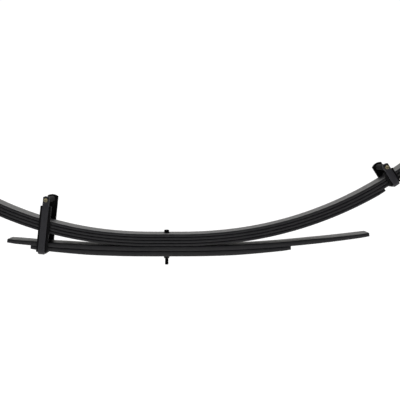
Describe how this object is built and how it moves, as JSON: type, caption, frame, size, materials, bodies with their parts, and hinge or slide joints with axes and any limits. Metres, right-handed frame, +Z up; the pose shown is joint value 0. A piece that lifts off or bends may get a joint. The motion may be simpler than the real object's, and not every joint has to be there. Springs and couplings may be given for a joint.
{
  "type": "leaf spring",
  "caption": "Progressive leaf spring: curved main leaves over flat overload leaves, with bushed eyes, centre bolt and bolted rebound clips; its arms flex down and the eye sleeves twist.",
  "frame": {"origin": "on the centre bolt's axis, at the underside of the lowest leaf, where an axle seat is clamped", "axes": "+X along the spring from the front eye to the rear eye, Y across the leaves, +Z up, from the overload leaves to the main leaf"},
  "size_m": [1.2629, 0.0996, 0.3397],
  "materials": {
    "black_paint": "satin black paint on spring steel",
    "liner_plastic": "moulded black liner, dull",
    "yellow_zinc": "yellowish zinc plating",
    "bare_steel": "bare drawn steel tube",
    "bush_rubber": "moulded black rubber"
  },
  "bodies": {
    "root": {"main_leaf": "black_paint", "second_leaf": "black_paint", "third_leaf": "black_paint", "fourth_leaf": "black_paint", "upper_overload_leaf": "black_paint", "lower_overload_leaf": "black_paint", "centre_bolt": "black_paint", "centre_nut": "black_paint", "front_clip_strap": "black_paint", "front_clip_liner": "liner_plastic", "front_clip_tube": "black_paint", "front_clip_bolt": "yellow_zinc", "front_clip_nut": "yellow_zinc", "front_clip_rivet": "black_paint"},
    "rear_eye": {"rear_bush_near": "bush_rubber", "rear_bush_far": "bush_rubber"},
    "rear_sleeve": {"rear_bush_sleeve": "bare_steel"},
    "front_eye": {"front_bush_shell": "bare_steel", "front_bush_rubber": "bush_rubber"},
    "front_sleeve": {"front_bush_sleeve": "bare_steel"},
    "rear_clip": {"rear_clip_strap": "black_paint", "rear_clip_liner": "liner_plastic", "rear_clip_tube": "black_paint", "rear_clip_bolt": "yellow_zinc", "rear_clip_nut": "yellow_zinc", "rear_clip_rivet": "black_paint"}
  },
  "joints": [
    {"name": "rear_arm_flex", "type": "hinge", "parent": "root", "child": "rear_eye", "pos_m": [0, 0, 0.055], "axis": [0, 1, 0], "range_deg": [0, 6.5], "stiffness_Nm_per_rad": 16000, "deforming": ["main_leaf", "second_leaf", "third_leaf", "fourth_leaf"]},
    {"name": "front_arm_flex", "type": "hinge", "parent": "root", "child": "front_eye", "pos_m": [0, 0, 0.055], "axis": [0, 1, 0], "range_deg": [-8, 0], "deforming": ["main_leaf", "second_leaf", "third_leaf", "fourth_leaf"]},
    {"name": "rear_clip_ride", "type": "hinge", "parent": "root", "child": "rear_clip", "pos_m": [0.1782, 0, 0.0861], "axis": [0, 1, 0], "range_deg": [0, 9.1]},
    {"name": "front_bush_twist", "type": "hinge", "parent": "front_eye", "child": "front_sleeve", "pos_m": [-0.54075, 0, 0.22259], "axis": [0, 1, 0], "range_deg": [-20, 20], "stiffness_Nm_per_rad": 60},
    {"name": "rear_bush_twist", "type": "hinge", "parent": "rear_eye", "child": "rear_sleeve", "pos_m": [0.65898, 0, 0.29108], "axis": [0, 1, 0], "range_deg": [-25, 25], "stiffness_Nm_per_rad": 60}
  ],
  "couplings": [
    {"joint": "front_arm_flex", "follows": "rear_arm_flex", "ratio": -1.2186},
    {"joint": "rear_clip_ride", "follows": "rear_arm_flex", "ratio": 1.397}
  ]
}
